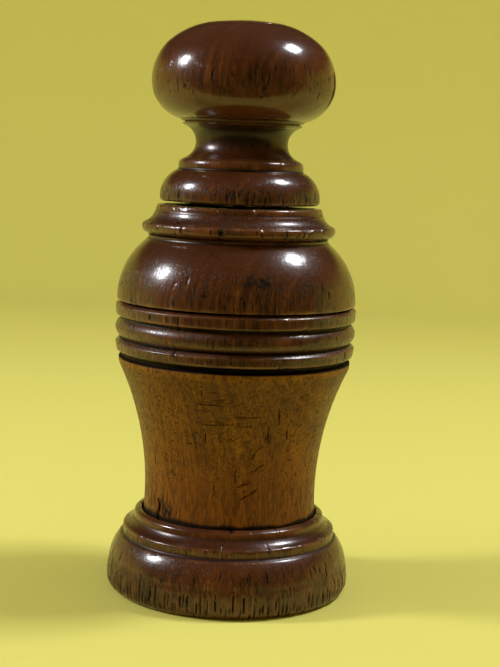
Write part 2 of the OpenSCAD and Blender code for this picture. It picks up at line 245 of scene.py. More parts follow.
def worn_line(points, step, wear):
    """The shown outline with its arrises rounded by `wear` mm, in even steps of about `step` mm.

    With it comes how far each point lies outside (+, an arris) or inside (-, a groove) its stretch's mean.
    """
    fine = np.array(resample(points, FINE_STEP))
    fine = fine[np.concatenate([[True], np.linalg.norm(np.diff(fine, axis=0), axis=1) > 1e-6])]
    along = running_length(fine)
    even = np.arange(0, along[-1], FINE_STEP)
    line = np.stack([np.interp(even, along, fine[:, k]) for k in (0, 1)], axis=1)
    reach = int(3 * wear / FINE_STEP) + 1
    kernel = np.exp(-0.5 * (np.arange(-reach, reach + 1) * FINE_STEP / wear) ** 2)
    soft = blurred(line, kernel / kernel.sum())
    soft[0], soft[-1] = line[0], line[-1]
    along = running_length(soft)
    places = np.linspace(0, along[-1], max(2, round(along[-1] / step)) + 1)
    out = np.stack([np.interp(places, along, soft[:, k]) for k in (0, 1)], axis=1)
    wide = 2 * int(BULGE_REACH / FINE_STEP) + 1
    mean = blurred(line, np.ones(wide) / wide)
    t = np.gradient(mean, axis=0)
    normal = np.stack([t[:, 1], -t[:, 0]], axis=1)
    normal /= np.linalg.norm(normal, axis=1)[:, None] + 1e-12
    bulge = np.interp(places, np.linspace(0, along[-1], len(line)), ((line - mean) * normal).sum(axis=1))
    return out, bulge


class Turning:
    """A piece turned about Z: rows along its outline and columns round it, the shown rows worn and marked.

    An open outline starts and ends beside the axis and gets a small flat end there; a ring's closes on itself.
    """

    def __init__(self, name, outline, columns, step, wear, blank, ring=True):
        self.name, self.ring, self.blank = name, ring, blank
        rows, flags, bulges = [], [], []
        for shown, points in outline:
            if shown:
                line, bulge = worn_line(points, step, wear)
                line, bulge = line.tolist(), list(bulge)
            else:
                start = rows[-1:]
                line = resample(start + list(points), HIDDEN_STEP)[len(start):]
                bulge = [0] * len(line)
            rows += [tuple(p) for p in line]
            flags += [float(shown)] * len(line)
            bulges += bulge
        self.r, self.z = np.array(rows).T
        self.shown, self.bulge = np.array(flags), np.array(bulges)
        self.angle = np.linspace(0, 2 * np.pi, columns, endpoint=False)
        self.A, self.Z = np.meshgrid(self.angle, self.z)
        self.R = np.repeat(self.r[:, None], columns, axis=1)
        self.S = np.repeat(self.shown[:, None], columns, axis=1)
        self.depth = np.zeros_like(self.A)
        self.marks = {name: np.zeros_like(self.A) for name in ("dirt", "wear", "stain_and_shade", "grain")}
        t = np.stack([np.gradient(self.r), np.gradient(self.z)], axis=1)
        n = np.stack([t[:, 1], -t[:, 0]], axis=1)
        self.n = n / (np.linalg.norm(n, axis=1)[:, None] + 1e-12)
        seen = self.shown > 0
        order = np.argsort(self.z[seen], kind="stable")
        self.heights, self.radii = self.z[seen][order], self.r[seen][order]

    def radius(self, z):
        return float(np.interp(z, self.heights, self.radii))

    def near(self, angle, low, high, margin):
        """The rows from z low to z high and the columns within `margin` mm of an angle, with their offsets."""
        turn = (self.angle - math.radians(angle) + np.pi) % (2 * np.pi) - np.pi
        reach = margin / self.radius((low + high) / 2)
        columns = np.flatnonzero(np.abs(turn) < reach)
        rows = np.flatnonzero((self.z > low) & (self.z < high) & (self.shown > 0))
        patch = np.ix_(rows, columns)
        return patch, turn[columns][None, :] * self.R[patch], self.Z[patch]

    def cut(self, amount, dirt=None, patch=...):
        """Takes `amount` mm off the shown surface, and marks the dirt that fills it."""
        self.depth[patch] += amount * self.S[patch]
        if dirt is not None:
            self.mark("dirt", dirt, patch)

    def mark(self, name, amount, patch=...):
        self.marks[name][patch] = np.maximum(self.marks[name][patch], amount * self.S[patch])

    def split(self, angle, low, high, width, depth, sway=0.15, open_foot=False, dirt=1.0):
        """A check along the grain, from z low to z high; with an open foot it is widest at the bottom."""
        patch, x, z = self.near(angle, low - 0.01, high, width + 2 * sway)
        if open_foot:
            reach = np.clip((high - z) / (high - low), 0, 1) ** 0.6
        else:
            reach = np.sqrt(np.clip(1 - ((2 * z - low - high) / (high - low)) ** 2, 0, 1))
        bend = math.radians(angle * 37)
        x = x - sway * np.sin(1.3 * z + bend) - 0.5 * sway * np.sin(3.1 * z + 2 * bend)
        vee = np.clip(1 - np.abs(x) / (width / 2 * np.maximum(reach, 0.15)), 0, 1) * (reach > 0)
        self.cut(vee ** 0.7 * depth * reach, np.clip(vee * 2.2, 0, 1) * dirt, patch)

    def gouge(self, a, b, width, depth, dirt=0.8, bend=0.0):
        """A cut from (angle, z) a to (angle, z) b, bowed sideways by `bend` mm."""
        radius = self.radius((a[1] + b[1]) / 2)
        bx, by = math.radians(b[0] - a[0]) * radius, b[1] - a[1]
        length = math.hypot(bx, by)
        margin = length + abs(bend) + width
        patch, x, z = self.near(a[0], min(a[1], b[1]) - margin, max(a[1], b[1]) + margin, margin)
        y = z - a[1]
        along = np.clip((x * bx + y * by) / length ** 2, 0, 1)
        rise = bend * 4 * along * (1 - along)
        off = np.hypot(x - along * bx + rise * by / length, y - along * by - rise * bx / length)
        taper = np.sqrt(np.clip(1 - (2 * along - 1) ** 2, 0.08, 1))
        vee = np.clip(1 - off / (width / 2 * taper), 0, 1)
        self.cut(vee * depth * taper, np.clip(vee * 1.6, 0, 1) * dirt, patch)

    def spot(self, angle, z, across, tall):
        margin = 2 * max(across, tall)
        patch, x, height = self.near(angle, z - margin, z + margin, margin)
        return patch, np.exp(-2 * ((x / across) ** 2 + ((height - z) / tall) ** 2))

    def dent(self, angle, z, across, tall, depth, dirt=0.0):
        patch, hollow = self.spot(angle, z, across, tall)
        self.cut(hollow * depth, hollow * dirt, patch)

    def smudge(self, angle, z, across, tall, amount):
        """A ragged stain about `across` mm wide and `tall` mm high, counted from its middle."""
        patch, shade = self.spot(angle, z, across, tall)
        ragged = 0.6 + 0.7 * field(self.A[patch], self.Z[patch], 240, 0.8, 77)
        self.mark("stain_and_shade", np.clip(shade * ragged * amount, 0, 1), patch)

    def mesh(self, body, slot, cuts=()):
        R = self.R - self.depth * self.n[:, 0][:, None]
        H = self.Z - self.depth * self.n[:, 1][:, None]
        rows, columns = R.shape
        points = np.stack([R * np.cos(self.A), R * np.sin(self.A), H], axis=2).reshape(-1, 3) * MM
        i = np.arange(rows if self.ring else rows - 1)[:, None]
        j = np.arange(columns)[None, :]
        k, up = (j + 1) % columns, (i + 1) % rows
        quads = np.stack([i * columns + j, i * columns + k, up * columns + k, up * columns + j], axis=2)
        faces = quads.reshape(-1, 4).tolist()
        if not self.ring:
            faces.append(list(range(columns - 1, -1, -1)))
            faces.append(list(range((rows - 1) * columns, rows * columns)))
        mesh = bpy.data.meshes.new(self.name)
        mesh.from_pydata(points.tolist(), [], faces)
        layers = dict(self.marks)
        layers["hidden"] = 1 - self.S
        # Faces turned up or down: their end grain, and a painted sheen of the sky on the tops.
        layers["end_grain_and_sheen"] = np.repeat(np.abs(self.n[:, 1])[:, None], columns, axis=1)
        layers["blank"] = np.full_like(self.S, self.blank)
        for name, values in layers.items():
            layer = mesh.attributes.new(name, "FLOAT", "POINT")
            layer.data.foreach_set("value", np.clip(values, -1, 1).astype(np.float32).ravel())
        mesh.shade_smooth()
        piece = bpy.data.objects.new(self.name, mesh)
        scene.collection.objects.link(piece)
        for low, high in cuts:
            carve(piece, low, high)
        piece.data.set_sharp_from_angle(angle=math.radians(50))
        piece.data.materials.clear()
        piece.data.materials.append(LOOKS[slot])
        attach(piece, body)
        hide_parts(self.name.replace("_wood", ""))
        return piece


def carve(piece, low, high):
    """Takes the box between two corners (mm) out of a piece."""
    xs, ys, zs = zip(low, high)
    corners = np.array([[x, y, z] for x in xs for y in ys for z in zs])
    box = bpy.data.meshes.new("carver")
    box.from_pydata((corners * MM).tolist(), [], [(0, 1, 3, 2), (4, 6, 7, 5), (0, 4, 5, 1), (2, 3, 7, 6),
                                                  (0, 2, 6, 4), (1, 5, 7, 3)])
    cutter = bpy.data.objects.new("carver", box)
    scene.collection.objects.link(cutter)
    modifier = piece.modifiers.new("carve", "BOOLEAN")
    modifier.operation = "DIFFERENCE"
    modifier.solver = "EXACT"
    modifier.object = cutter
    bpy.context.view_layer.update()
    graph = bpy.context.evaluated_depsgraph_get()
    made = bpy.data.meshes.new_from_object(piece.evaluated_get(graph))
    piece.modifiers.clear()
    old = piece.data
    piece.data = made
    bpy.data.meshes.remove(old)
    bpy.data.objects.remove(cutter)
    bpy.data.meshes.remove(box)


# ---------------------------------------------------------------- materials

class Shader:
    """A material's node tree, built up by small calls."""

    def __init__(self, name):
        self.material = bpy.data.materials.new(name)
        self.material.use_nodes = True
        self.tree = self.material.node_tree
        self.tree.nodes.clear()
        self.out = self.tree.nodes.new("ShaderNodeOutputMaterial")
        self.surface = self.tree.nodes.new("ShaderNodeBsdfPrincipled")
        self.tree.links.new(self.surface.outputs[0], self.out.inputs["Surface"])

    def node(self, kind, inputs=None, **settings):
        made = self.tree.nodes.new("ShaderNode" + kind)
        for key, value in settings.items():
            setattr(made, key, value)
        for key, value in (inputs or {}).items():
            self.feed(made.inputs[key], value)
        return made

    def feed(self, socket, value):
        if isinstance(value, bpy.types.NodeSocket):
            self.tree.links.new(value, socket)
        else:
            socket.default_value = value

    def maths(self, operation, a, b=None):
        inputs = {0: a} if b is None else {0: a, 1: b}
        return self.node("Math", inputs, operation=operation).outputs[0]

    def add(self, a, b):
        return self.maths("ADD", a, b)

    def times(self, a, b):
        return self.maths("MULTIPLY", a, b)

    def most(self, a, b):
        return self.maths("MAXIMUM", a, b)

    def ramp(self, value, low, high):
        """0 at low, 1 at high, smooth between."""
        made = self.node("MapRange", {"Value": value, "From Min": low, "From Max": high},
                         interpolation_type="SMOOTHSTEP")
        return made.outputs["Result"]

    def stretch(self, vector, scale):
        return self.node("VectorMath", {0: vector, 1: scale}, operation="MULTIPLY").outputs[0]

    def noise(self, vector, scale, detail=2.0, rough=0.5, distortion=0.0):
        made = self.node("TexNoise", {"Vector": self.stretch(vector, scale), "Scale": 1.0, "Detail": detail,
                                      "Roughness": rough, "Distortion": distortion})
        return made.outputs["Fac"]

    def mix(self, factor, a, b):
        """Colour a at factor 0, colour b at factor 1."""
        made = self.node("Mix", data_type="RGBA", blend_type="MIX")
        self.feed(made.inputs[0], factor)
        self.feed(made.inputs[6], a)
        self.feed(made.inputs[7], b)
        return made.outputs[2]

    def colours(self, value, stops):
        made = self.node("ValToRGB", {"Fac": value})
        ramp = made.color_ramp
        while len(ramp.elements) < len(stops):
            ramp.elements.new(0.5)
        for element, (place, colour) in zip(ramp.elements, stops):
            element.position = place
            element.color = (*colour, 1)
        return made.outputs["Color"]

    def attribute(self, name):
        return self.node("Attribute", attribute_name=name, attribute_type="GEOMETRY").outputs["Fac"]

    def place(self):
        """The point on the piece in millimetres."""
        spot = self.node("TexCoord").outputs["Object"]
        return self.node("VectorMath", {0: spot, "Scale": 1000.0}, operation="SCALE").outputs[0]

    def between(self, factor, a, b):
        """The number a at factor 0, the number b at factor 1."""
        return self.node("Mix", {0: factor, 2: a, 3: b}, data_type="FLOAT").outputs[0]

    def bump(self, height):
        """The shading normal for a height in millimetres."""
        made = self.node("Bump", {"Strength": 1.0, "Distance": MM, "Height": height})
        return made.outputs["Normal"]


def rgb(r, g, b):
    """A linear colour from the usual 0-255 values."""
    def line(v):
        v /= 255
        return v / 12.92 if v <= 0.04045 else ((v + 0.055) / 1.055) ** 2.4
    return (line(r), line(g), line(b))


def wood(name, tones, end_grain_and_sheen_tone, rough, crackle):
    """Old waxed wood; `crackle` is how far its finish has crazed into fine curly lines."""
    s = Shader(name)
    place = s.place()
    axes = s.node("SeparateXYZ", {0: place})
    height = axes.outputs["Z"]
    # Each blank is cut from another spot of the plank, and its grain wanders a little.
    wander = s.node("TexNoise", {"Vector": s.stretch(place, (0.05, 0.05, 0.014)), "Scale": 1.0, "Detail": 2.0})
    offset = s.node("VectorMath", {0: wander.outputs["Color"], 1: (0.5, 0.5, 0.5)}, operation="SUBTRACT")
    offset = offset.outputs[0]
    point = s.node("VectorMath", {0: place, 1: s.stretch(offset, (3.5, 3.5, 0.0))}, operation="ADD").outputs[0]
    shift = s.node("CombineXYZ", {"X": 90.0, "Y": -70.0, "Z": 50.0}).outputs[0]
    shift = s.node("VectorMath", {0: shift, "Scale": s.attribute("blank")}, operation="SCALE").outputs[0]
    point = s.node("VectorMath", {0: point, 1: shift}, operation="ADD").outputs[0]
    from_pith = s.node("VectorMath", {0: s.stretch(point, (1, 1, 0)), 1: (-64.0, 31.0, 0.0)},
                       operation="DISTANCE")
    rings = s.node("TexNoise", {"W": s.times(from_pith.outputs["Value"], 0.55), "Scale": 1.0, "Detail": 3.0},
                   noise_dimensions="1D").outputs["Fac"]
    fine = s.add(s.times(s.noise(point, (1.9, 1.9, 0.1), 2.0, 0.6), 0.6),
                 s.times(s.noise(point, (3.8, 3.8, 0.3), 2.0, 0.6), 0.4))
    medium = s.noise(point, (1.2, 1.2, 0.07), 2.0)
    broad = s.noise(point, (0.06, 0.06, 0.03), 2.0)
    tone = s.add(s.times(rings, 0.36), s.times(fine, 0.8))
    tone = s.add(tone, s.times(medium, 0.3))
    tone = s.add(tone, s.times(broad, 0.45))
    tone = s.node("MapRange", {"Value": tone, "From Min": 0.64, "From Max": 1.26}).outputs["Result"]
    colour = s.colours(tone, tones)
    # Handling has reddened the lower part of the crazed piece.
    rosy = s.times(s.times(s.ramp(height, 56.0, 27.0), 0.68 * crackle), s.add(0.3, s.times(medium, 0.9)))
    colour = s.mix(rosy, colour, (*rgb(128, 64, 10), 1))
    grain = s.attribute("grain")
    # Short dark flecks where the surface has grown coarse
    fleck = s.noise(point, (2.2, 2.2, 0.32), 1.0)
    fleck = s.ramp(s.add(fleck, s.times(grain, 0.14)), 0.64, 0.69)
    fleck = s.times(fleck, s.ramp(grain, 0.05, 0.4))
    dark = s.times(fleck, 0.8)
    # Crazed finish: fine curling lines, drawn out into fibres near the foot
    hills = s.noise(place, (0.2, 0.2, 0.15), 1.0, 0.5, 0.5)
    small = s.noise(place, (0.9, 0.9, 0.7), 1.0)
    curls = s.maths("SINE", s.add(s.times(hills, 78.0), s.times(small, 12.0)))
    curls = s.times(s.ramp(curls, 0.0, 0.9), s.ramp(small, 0.3, 0.55))
    fibre = s.ramp(s.noise(point, (1.35, 1.35, 0.2), 1.0, 0.5, 0.9), 0.45, 0.56)
    high_up = s.ramp(height, 31.0, 42.0)
    crazed = s.between(high_up, fibre, curls)
    crazed = s.times(s.times(crazed, crackle), s.add(0.55, s.times(s.ramp(broad, 0.35, 0.6), 0.45)))
    dark = s.most(dark, s.times(crazed, 0.78))
    colour = s.mix(dark, colour, (*tones[0][1], 1))
    # Faces turned up or down take a plum tone: partly end grain, partly a painted reflection of the sky on the
    # tops.
    end = s.times(s.ramp(s.attribute("end_grain_and_sheen"), 0.15, 0.75), 0.8)
    colour = s.mix(end, colour, (*end_grain_and_sheen_tone, 1))
    wear = s.attribute("wear")
    colour = s.mix(s.times(wear, 0.55), colour, (*tones[-1][1], 1))
    # Real stains, and the painted shade on the cap's neck, go towards near black.
    stain_and_shade = s.attribute("stain_and_shade")
    colour = s.mix(stain_and_shade, colour, (*rgb(20, 15, 6), 1))
    # Dirt and painted shade: cracks, gouges and pits hold real grime; grooves and the rims beside the joints
    # are also painted near black where shade falls.
    dirt = s.attribute("dirt")
    colour = s.mix(dirt, colour, (*rgb(10, 6, 3), 1))
    # Turned surfaces that nobody polished: bare, dusted with pepper.
    bare = s.attribute("hidden")
    dust = s.ramp(s.noise(place, (1.6, 1.6, 1.6), 3.0, 0.7), 0.5, 0.62)
    raw = s.mix(fine, (*rgb(118, 84, 50), 1), (*rgb(160, 122, 78), 1))
    raw = s.mix(s.times(dust, 0.55), raw, (*rgb(62, 50, 38), 1))
    colour = s.mix(bare, colour, raw)
    s.feed(s.surface.inputs["Base Color"], colour)
    dull = s.add(s.times(dark, 0.2), s.add(s.times(dirt, 0.45), s.times(stain_and_shade, 0.2)))
    dull = s.add(dull, s.times(s.noise(place, (0.35, 0.35, 0.35), 3.0), 0.12))
    dull = s.add(dull, s.times(grain, 0.16))
    dull = s.add(dull, rough - 0.06)
    dull = s.between(bare, dull, 0.85)
    s.feed(s.surface.inputs["Roughness"], dull)
    # Packed grime, and the painted shade in grooves and on the cap's neck, lose their gloss: metallic with
    # their near-black colour keeps them dark.
    s.feed(s.surface.inputs["Metallic"], s.most(s.times(dirt, 0.85), s.times(stain_and_shade, 0.6)))
    s.surface.inputs["IOR"].default_value = 1.5
    s.surface.inputs["Specular IOR Level"].default_value = 0.5 - 0.25 * crackle
    s.surface.inputs["Coat Weight"].default_value = 0.18 * (1 - crackle)
    s.surface.inputs["Coat Roughness"].default_value = 0.34
    # Lathe lines follow radius and height only.
    reach = s.maths("SQRT", s.add(s.times(axes.outputs["X"], axes.outputs["X"]),
                                  s.times(axes.outputs["Y"], axes.outputs["Y"])))
    turned = s.node("CombineXYZ", {"X": reach, "Y": height}).outputs[0]
    lathe = s.node("TexNoise", {"Vector": turned, "Scale": 3.2, "Detail": 3.0, "Roughness": 0.7},
                   noise_dimensions="2D").outputs["Fac"]
    relief = s.times(fine, s.add(s.times(grain, 0.045), 0.003))
    relief = s.add(relief, s.times(dark, -0.025))
    relief = s.add(relief, s.times(lathe, 0.007))
    s.feed(s.surface.inputs["Normal"], s.bump(relief))
    return s.material


def metal(name, colour, patina, rough, patina_rough, amount, bump, grain=(1, 1, 1)):
    """Bare metal with an `amount` of patina in patches, `bump` mm uneven and scaled by `grain`."""
    s = Shader(name)
    place = s.place()
    patch = s.ramp(s.noise(place, (0.22, 0.22, 0.22), 4.0, 0.65), 0.62 - 0.3 * amount, 0.72 - 0.1 * amount)
    tint = s.noise(place, tuple(0.6 * g for g in grain), 3.0)
    body = s.mix(tint, (*[c * 0.7 for c in colour], 1), (*colour, 1))
    s.feed(s.surface.inputs["Base Color"], s.mix(patch, body, (*patina, 1)))
    s.feed(s.surface.inputs["Roughness"], s.between(patch, rough, patina_rough))
    s.feed(s.surface.inputs["Metallic"], s.between(patch, 1.0, PATINA_METALLIC))
    height = s.times(s.noise(place, tuple(1.8 * g for g in grain), 4.0, 0.7), bump)
    s.feed(s.surface.inputs["Normal"], s.bump(height))
    return s.material


PATINA_METALLIC = 0.35
LATHE_GRAIN = (0.3, 0.3, 6)
DARK_TONES = [(0.0, rgb(22, 8, 3)), (0.3, rgb(54, 25, 11)), (0.55, rgb(78, 40, 18)), (0.8, rgb(100, 54, 25)),
              (1.0, rgb(138, 86, 46))]
WAIST_TONES = [(0.0, rgb(34, 18, 3)), (0.3, rgb(88, 49, 7)), (0.6, rgb(119, 72, 10)), (0.85, rgb(141, 90, 15)),
               (1.0, rgb(166, 110, 32))]

LOOKS = {
    "waxed_wood": wood("waxed_wood", DARK_TONES, rgb(66, 34, 17), 0.12, 0.0),
    "worn_wood": wood("worn_wood", WAIST_TONES, rgb(70, 44, 14), 0.36, 1.0),
    "forged_iron": metal("forged_iron", rgb(92, 88, 84), rgb(84, 52, 34), 0.5, 0.8, 0.5, 0.05),
    "burr_iron": metal("burr_iron", rgb(128, 124, 120), rgb(70, 52, 38), 0.42, 0.8, 0.35, 0.02),
    "turned_steel": metal("turned_steel", rgb(176, 172, 168), rgb(104, 86, 70), 0.28, 0.6, 0.2, 0.006,
                          LATHE_GRAIN),
    "turned_brass": metal("turned_brass", rgb(206, 168, 92), rgb(112, 82, 44), 0.3, 0.55, 0.35, 0.006,
                          LATHE_GRAIN),
}


def finish_nodes():
    """Gives every CAD node its slot's finish."""
    for part in frame["record"]["subparts"]:
        obj = frame["nodes"][part["node"]]
        obj.data.materials.clear()
        obj.data.materials.append(LOOKS[part["material_slot"]])


# ---------------------------------------------------------------- the wooden pieces

def weather(t, coarse, seed, knocks=1.0):
    """What age does to every turning: it moves a little, its grain opens, its grooves fill with dirt and are
    painted with shade, its arrises rub.

    `coarse` is how open the grain has grown, as (z, amount) pairs.
    """
    A, Z = t.A, t.Z
    t.cut(0.08 + 0.04 * np.cos(2 * (A - 0.6)) + 0.04 * field(A, Z, 9, 22, seed))
    heights, amounts = zip(*coarse)
    open_grain = np.interp(Z, heights, amounts)
    fibre_count = int(2 * np.pi * t.r.max() / 0.55)
    grain = 0.65 * fibres(A, Z, fibre_count, 3.4, seed + 1)
    grain = grain + 0.5 * fibres(A, Z, fibre_count * 2, 2.2, seed + 2)
    patches = 0.5 + 0.5 * field(A, Z, 16, 9, seed + 3)
    level = 1 - np.abs(t.n[:, 1])[:, None] ** 2
    opened = np.clip((grain - 0.3) / 0.45, 0, 1) * (0.3 + 0.7 * patches) * level * open_grain
    t.cut(opened * 0.09)
    t.mark("grain", np.clip(open_grain * (0.55 + 0.6 * patches), 0, 1))
    t.mark("stain_and_shade", np.clip(0.5 * opened, 0, 1))
    groove = np.clip(-t.bulge / 0.3, 0, 1)[:, None] * np.ones_like(A)
    arris = np.clip(t.bulge / 0.3, 0, 1)[:, None] * np.ones_like(A)
    rub = np.clip(0.55 + 0.6 * field(A, Z, 60, 4, seed + 4) + 0.4 * field(A, Z, 13, 8, seed + 5), 0, 1)
    t.mark("wear", np.clip(arris * rub, 0, 1))
    # Grooves darkened towards near black: dirt, and painted shade where the grooves fall into shadow.
    t.mark("dirt", groove * (0.8 + 0.2 * field(A, Z, 50, 3, seed + 6)))
    # Small knocks along the arrises
    knock = np.clip(field(A, Z, 110, 2.5, seed + 7) - 0.55, 0, 1)
    t.cut(arris * knock * 0.6 * knocks)


def scatter_checks(t, seed, count, low, high, length, width, depth, dirt=0.9):
    """Checks at random angles, their middles between z low and z high."""
    rng = np.random.default_rng(seed)
    for _ in range(count):
        size, z = rng.uniform(*length), rng.uniform(low, high)
        t.split(rng.uniform(0, 360), z - size / 2, z + size / 2, rng.uniform(*width), rng.uniform(*depth),
                dirt=dirt)


def scatter_dents(t, seed, count, low, high, size, depth):
    rng = np.random.default_rng(seed)
    for _ in range(count):
        across = rng.uniform(*size)
        t.dent(rng.uniform(0, 360), rng.uniform(low, high), across, across * rng.uniform(0.6, 1.8),
               rng.uniform(*depth))


def make_base():
    t = Turning("base_wood", base_outline(), 820, 0.46, 0.24, 0.13, ring=False)
    coarse = [(0, 0.75), (9, 0.7), (14, 0.5), (16.8, 0.4), (17.3, 0.75), (19.8, 0.75), (20.5, 0.2), (25, 0.3)]
    weather(t, coarse, 100)
    # The foot has checked all round from its damp bottom edge.
    rng = np.random.default_rng(11)
    count = 190
    for k in range(count):
        angle = (k + rng.uniform(-0.45, 0.45)) * 360 / count
        top = 3 + 8.0 * rng.beta(1.5, 2.1)
        open_foot = rng.uniform() < 0.15
        bottom = -1 if open_foot else rng.uniform(0.4, 2.5)
        t.split(angle, bottom, top, rng.uniform(0.3, 0.6), rng.uniform(0.3, 0.9), rng.uniform(0.02, 0.1),
                open_foot, 0.8)
    scatter_checks(t, 12, 90, 6, 15, (1.5, 5), (0.25, 0.5), (0.15, 0.5))
    scatter_checks(t, 13, 40, 18.5, 21, (1.2, 2.6), (0.25, 0.4), (0.1, 0.3))
    scatter_dents(t, 14, 16, 2, 12, (0.6, 1.6), (0.08, 0.2))
    for _ in range(40):
        t.smudge(rng.uniform(0, 360), rng.uniform(0.5, 9), rng.uniform(1, 4), rng.uniform(1, 3.5),
                 rng.uniform(0.3, 0.7))
    t.dent(-87.4, FOOT_H, 0.9, 0.7, 0.5, 1.0)
    t.mesh("receiver", "waxed_wood")


def make_waist():
    t = Turning("waist_wood", waist_outline(), 590, 0.42, 0.18, 0.37)
    weather(t, [(25, 0.25), (45, 0.2), (60, 0.12), (74, 0.3)], 200)
    scatter_checks(t, 21, 26, 30, 69, (2, 6), (0.25, 0.4), (0.15, 0.45))
    scatter_dents(t, 22, 18, 28, 70, (0.8, 2.2), (0.05, 0.15))
    rng = np.random.default_rng(23)
    for _ in range(70):
        angle, z, turn = rng.uniform(0, 360), rng.uniform(30, 68), rng.uniform(-1, 1)
        reach = rng.uniform(1.5, 5)
        t.gouge((angle, z), (angle + 2 * reach * math.cos(turn), z + reach * math.sin(turn)), 0.3, 0.06,
                rng.uniform(0.2, 0.7), rng.uniform(-0.6, 0.6))
    for _ in range(60):
        t.smudge(rng.uniform(0, 360), rng.uniform(27, 70), rng.uniform(0.8, 5), rng.uniform(0.5, 2.2),
                 rng.uniform(0.15, 0.5))
    # The crack from the joint, with grime packed round it, and a near-black band along the waist's foot where
    # it meets the base
    t.split(-142.5, 23, 31.3, 1.3, 1.3, 0.3)
    t.smudge(-135, 27.2, 6.0, 4.2, 1.0)
    t.smudge(-139, 29.0, 2.5, 4.0, 0.7)
    low = np.clip(1 - (t.Z - FOOT_H) / (1.3 + 0.9 * field(t.A, t.Z, 40, 60, 24)), 0, 1)
    t.mark("stain_and_shade", 0.95 * np.clip(low * 1.6, 0, 1))
    # Dirt and painted shade: the waist's top, under the hopper's overhanging band, is painted near black.
    outside = np.clip((t.R - t.R.max() + 1.3) / 0.6, 0.3, 1)
    t.mark("dirt", 0.95 * outside * np.clip((t.Z - RIM + 1.3) / 0.4, 0, 1))
    # Knife strokes and nicks
    t.gouge((-84.5, 38.0), (-76.4, 39.4), 0.75, 0.35, 0.8, 0.1)
    t.gouge((-81.5, 39.4), (-77, 40.3), 0.45, 0.15, 0.5)
    t.gouge((-82.6, 33.9), (-76.6, 35.6), 0.75, 0.35, 0.8, 0.2)
    t.gouge((-77.6, 35.5), (-71.6, 37.5), 0.75, 0.35, 0.75, -0.15)
    t.gouge((-80.4, 36.4), (-76.4, 37.4), 0.4, 0.12, 0.45)
    t.gouge((-78.5, 42.3), (-72.2, 43.4), 0.5, 0.2, 0.6)
    t.gouge((-74.2, 43.0), (-67.5, 45.1), 0.6, 0.3, 0.75, 0.25)
    t.gouge((-76.6, 45.9), (-74.0, 49.4), 0.6, 0.3, 0.8, 0.2)
    t.gouge((-74.3, 49.2), (-69.7, 50.7), 0.55, 0.25, 0.7, 0.3)
    t.gouge((-64, 62.4), (-62.2, 57.5), 0.7, 0.35, 1.0)
    t.gouge((-68.4, 56.8), (-67.6, 51.2), 0.8, 0.35, 0.8)
    t.gouge((-66.6, 54.6), (-66.2, 50.2), 0.5, 0.25, 0.65)
    t.gouge((-69.9, 54.2), (-69.2, 51.6), 0.4, 0.2, 0.5)
    t.gouge((-56.5, 55.9), (-55, 52.4), 0.7, 0.4, 1.0)
    for _ in range(14):
        angle, z = rng.uniform(-114, -92), 56 + 13 * rng.beta(1.4, 1.6)
        t.gouge((angle, z), (angle + rng.uniform(8, 24), z + rng.uniform(-0.5, 0.5)), 0.36, 0.05,
                rng.uniform(0.35, 0.8), rng.uniform(-0.3, 0.3))
    t.smudge(-97, 57.5, 1.6, 2.6, 0.8)
    t.smudge(-93.5, 52.5, 3.5, 1.0, 0.5)
    t.smudge(-86, 60, 3.0, 1.4, 0.5)
    t.mesh("receiver", "worn_wood")


def make_hopper():
    t = Turning("hopper_wood", hopper_outline(), 520, 0.34, 0.12, 0.61)
    weather(t, [(74, 0.9), (90, 0.9), (93, 0.75), (100, 0.45), (106, 0.2)], 300)
    scatter_checks(t, 31, 60, 76, 100, (1.5, 5), (0.25, 0.45), (0.15, 0.4), 0.85)
    scatter_dents(t, 32, 16, 76, 99, (0.6, 1.6), (0.05, 0.14))
    # Dirt and painted shade: the hopper's lowest edge, inside the groove above the waist, is painted near
    # black.
    t.mark("dirt", 0.95 * np.clip((RIM + 1.1 - t.Z) / 0.3, 0, 1))
    t.gouge((-104.3, 107.4), (-97.3, 106), 0.3, 0.12, 0.6, 0.3)
    t.gouge((-113.0, 98.4), (-112.6, 101.6), 0.9, 0.25, 0.5)
    t.gouge((-114.6, 103.6), (-112.9, 101.8), 0.5, 0.2, 0.5)
    t.split(-104, 95, 97.8, 0.4, 0.3)
    t.smudge(-79, 100.3, 6.5, 2.2, 1.0)
    t.smudge(-73, 101.5, 3.0, 1.6, 0.7)
    # Two notches for the stirrup's feet
    near, far, half = 19.3, 25.3, 4.1
    low, high = SPIGOT_Z - 1, SPIGOT_Z + 1.5
    cuts = [((near, -half, low), (far, half, high)), ((-far, -half, low), (-near, half, high))]
    t.mesh("mill", "waxed_wood", cuts)


def make_collar():
    t = Turning("collar_wood", collar_outline(), 600, 0.26, 0.15, 0.29)
    weather(t, [(111, 0.6), (116, 0.5), (121, 0.35)], 400, 2.0)
    scatter_checks(t, 41, 26, 112.5, 116, (1.2, 3.2), (0.25, 0.4), (0.2, 0.5))
    t.dent(-99.3, 114.1, 1.2, 1.4, 1.0, 1.0)
    t.dent(-97.6, 113.4, 0.6, 0.8, 0.3, 0.6)
    for angle in (-123.8, -61.6, -49.2):
        t.split(angle, 112.2, 115.2, 0.5, 0.5, 0.1)
    # The inlet for the bridge
    cuts = [((-23.3, -4.6, COLLAR_TOP - 2), (23.3, 4.6, COLLAR_TOP + 1))]
    t.mesh("mill", "waxed_wood", cuts)


